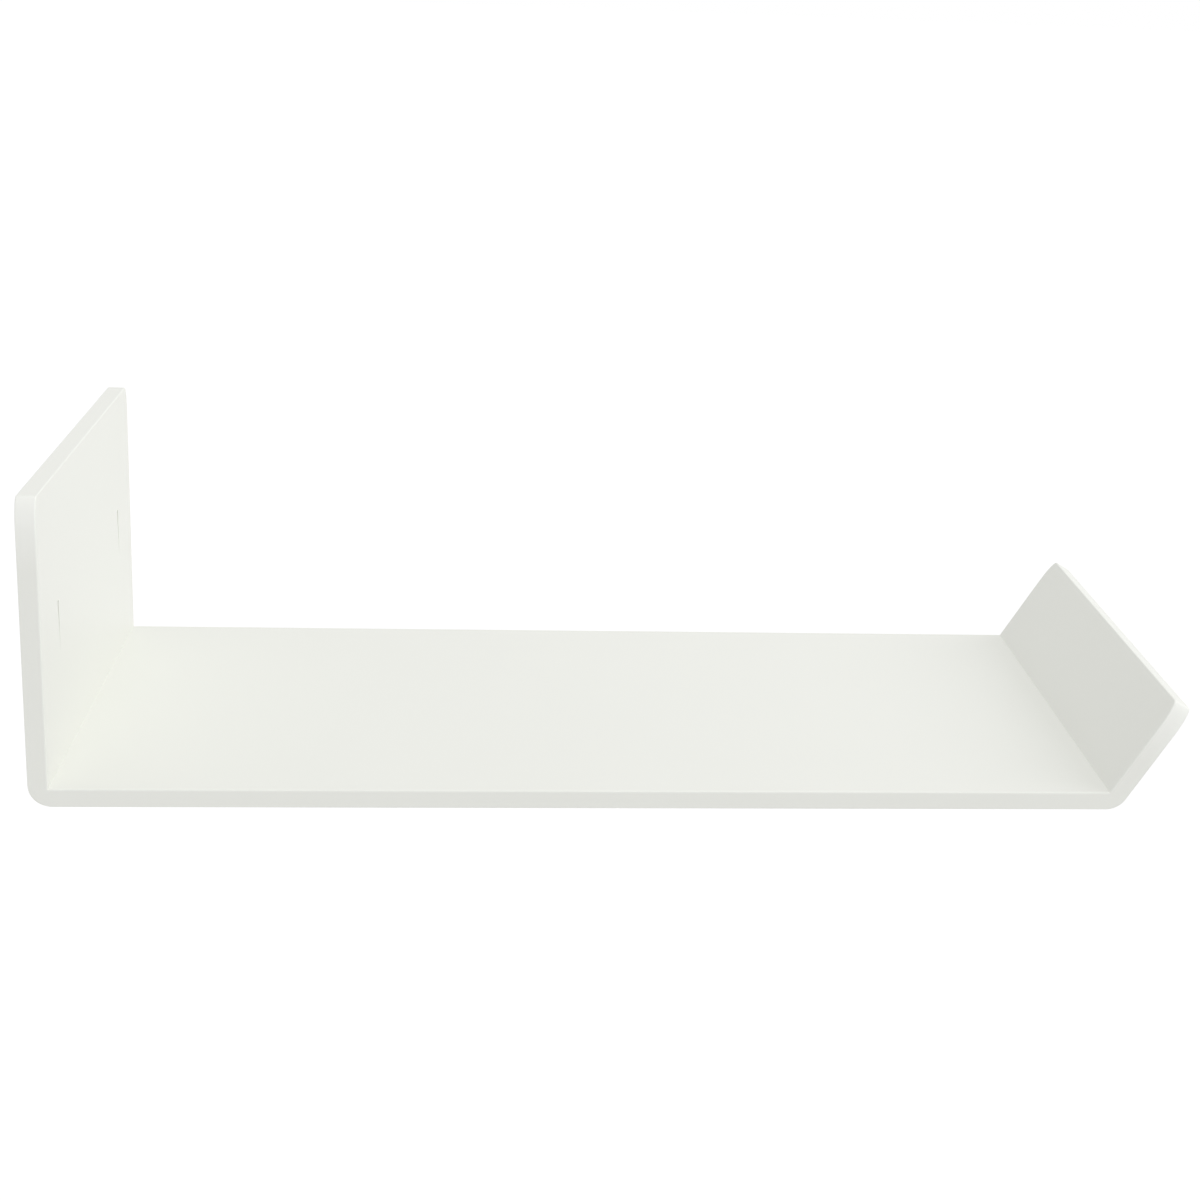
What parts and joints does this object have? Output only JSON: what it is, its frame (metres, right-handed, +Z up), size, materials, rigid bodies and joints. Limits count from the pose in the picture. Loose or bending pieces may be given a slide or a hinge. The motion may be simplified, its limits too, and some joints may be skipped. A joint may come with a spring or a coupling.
{
  "type": "floating wall shelf",
  "caption": "Thin white wall shelf: a tall upright, a level board and a short outward-leaning flap, on concealed wall plates with rods.",
  "frame": {"origin": "on the wall plane, at the middle of the shelf's width and of the board's thickness", "axes": "+X along the wall to the right as seen from the room, +Y out of the shelf's back edge into the wall, +Z up"},
  "size_m": [0.5997, 0.18, 0.1667],
  "materials": {
    "satin_white_lacquer": "satin warm-white lacquer on medium-density fibreboard, matt to low sheen, no visible joints",
    "birch_plywood": "raw birch plywood strip, glued in",
    "zinc_plated_steel": "bright zinc plate over drawn steel"
  },
  "bodies": {
    "wall_brackets": {"upright_wall_plate": "zinc_plated_steel", "upright_rod_lower": "zinc_plated_steel", "upright_rod_upper": "zinc_plated_steel", "flap_wall_plate": "zinc_plated_steel", "flap_rod_lower": "zinc_plated_steel", "flap_rod_upper": "zinc_plated_steel"},
    "shelf": {"shelf_board": "satin_white_lacquer", "upright_panel": "satin_white_lacquer", "flap_panel": "satin_white_lacquer", "upright_tongue": "birch_plywood", "flap_tongue": "birch_plywood"}
  },
  "joints": [
    {"name": "shelf_slide", "type": "slide", "parent": "wall_brackets", "child": "shelf", "axis": [0, -1, 0], "range_m": [0, 0.09]}
  ]
}
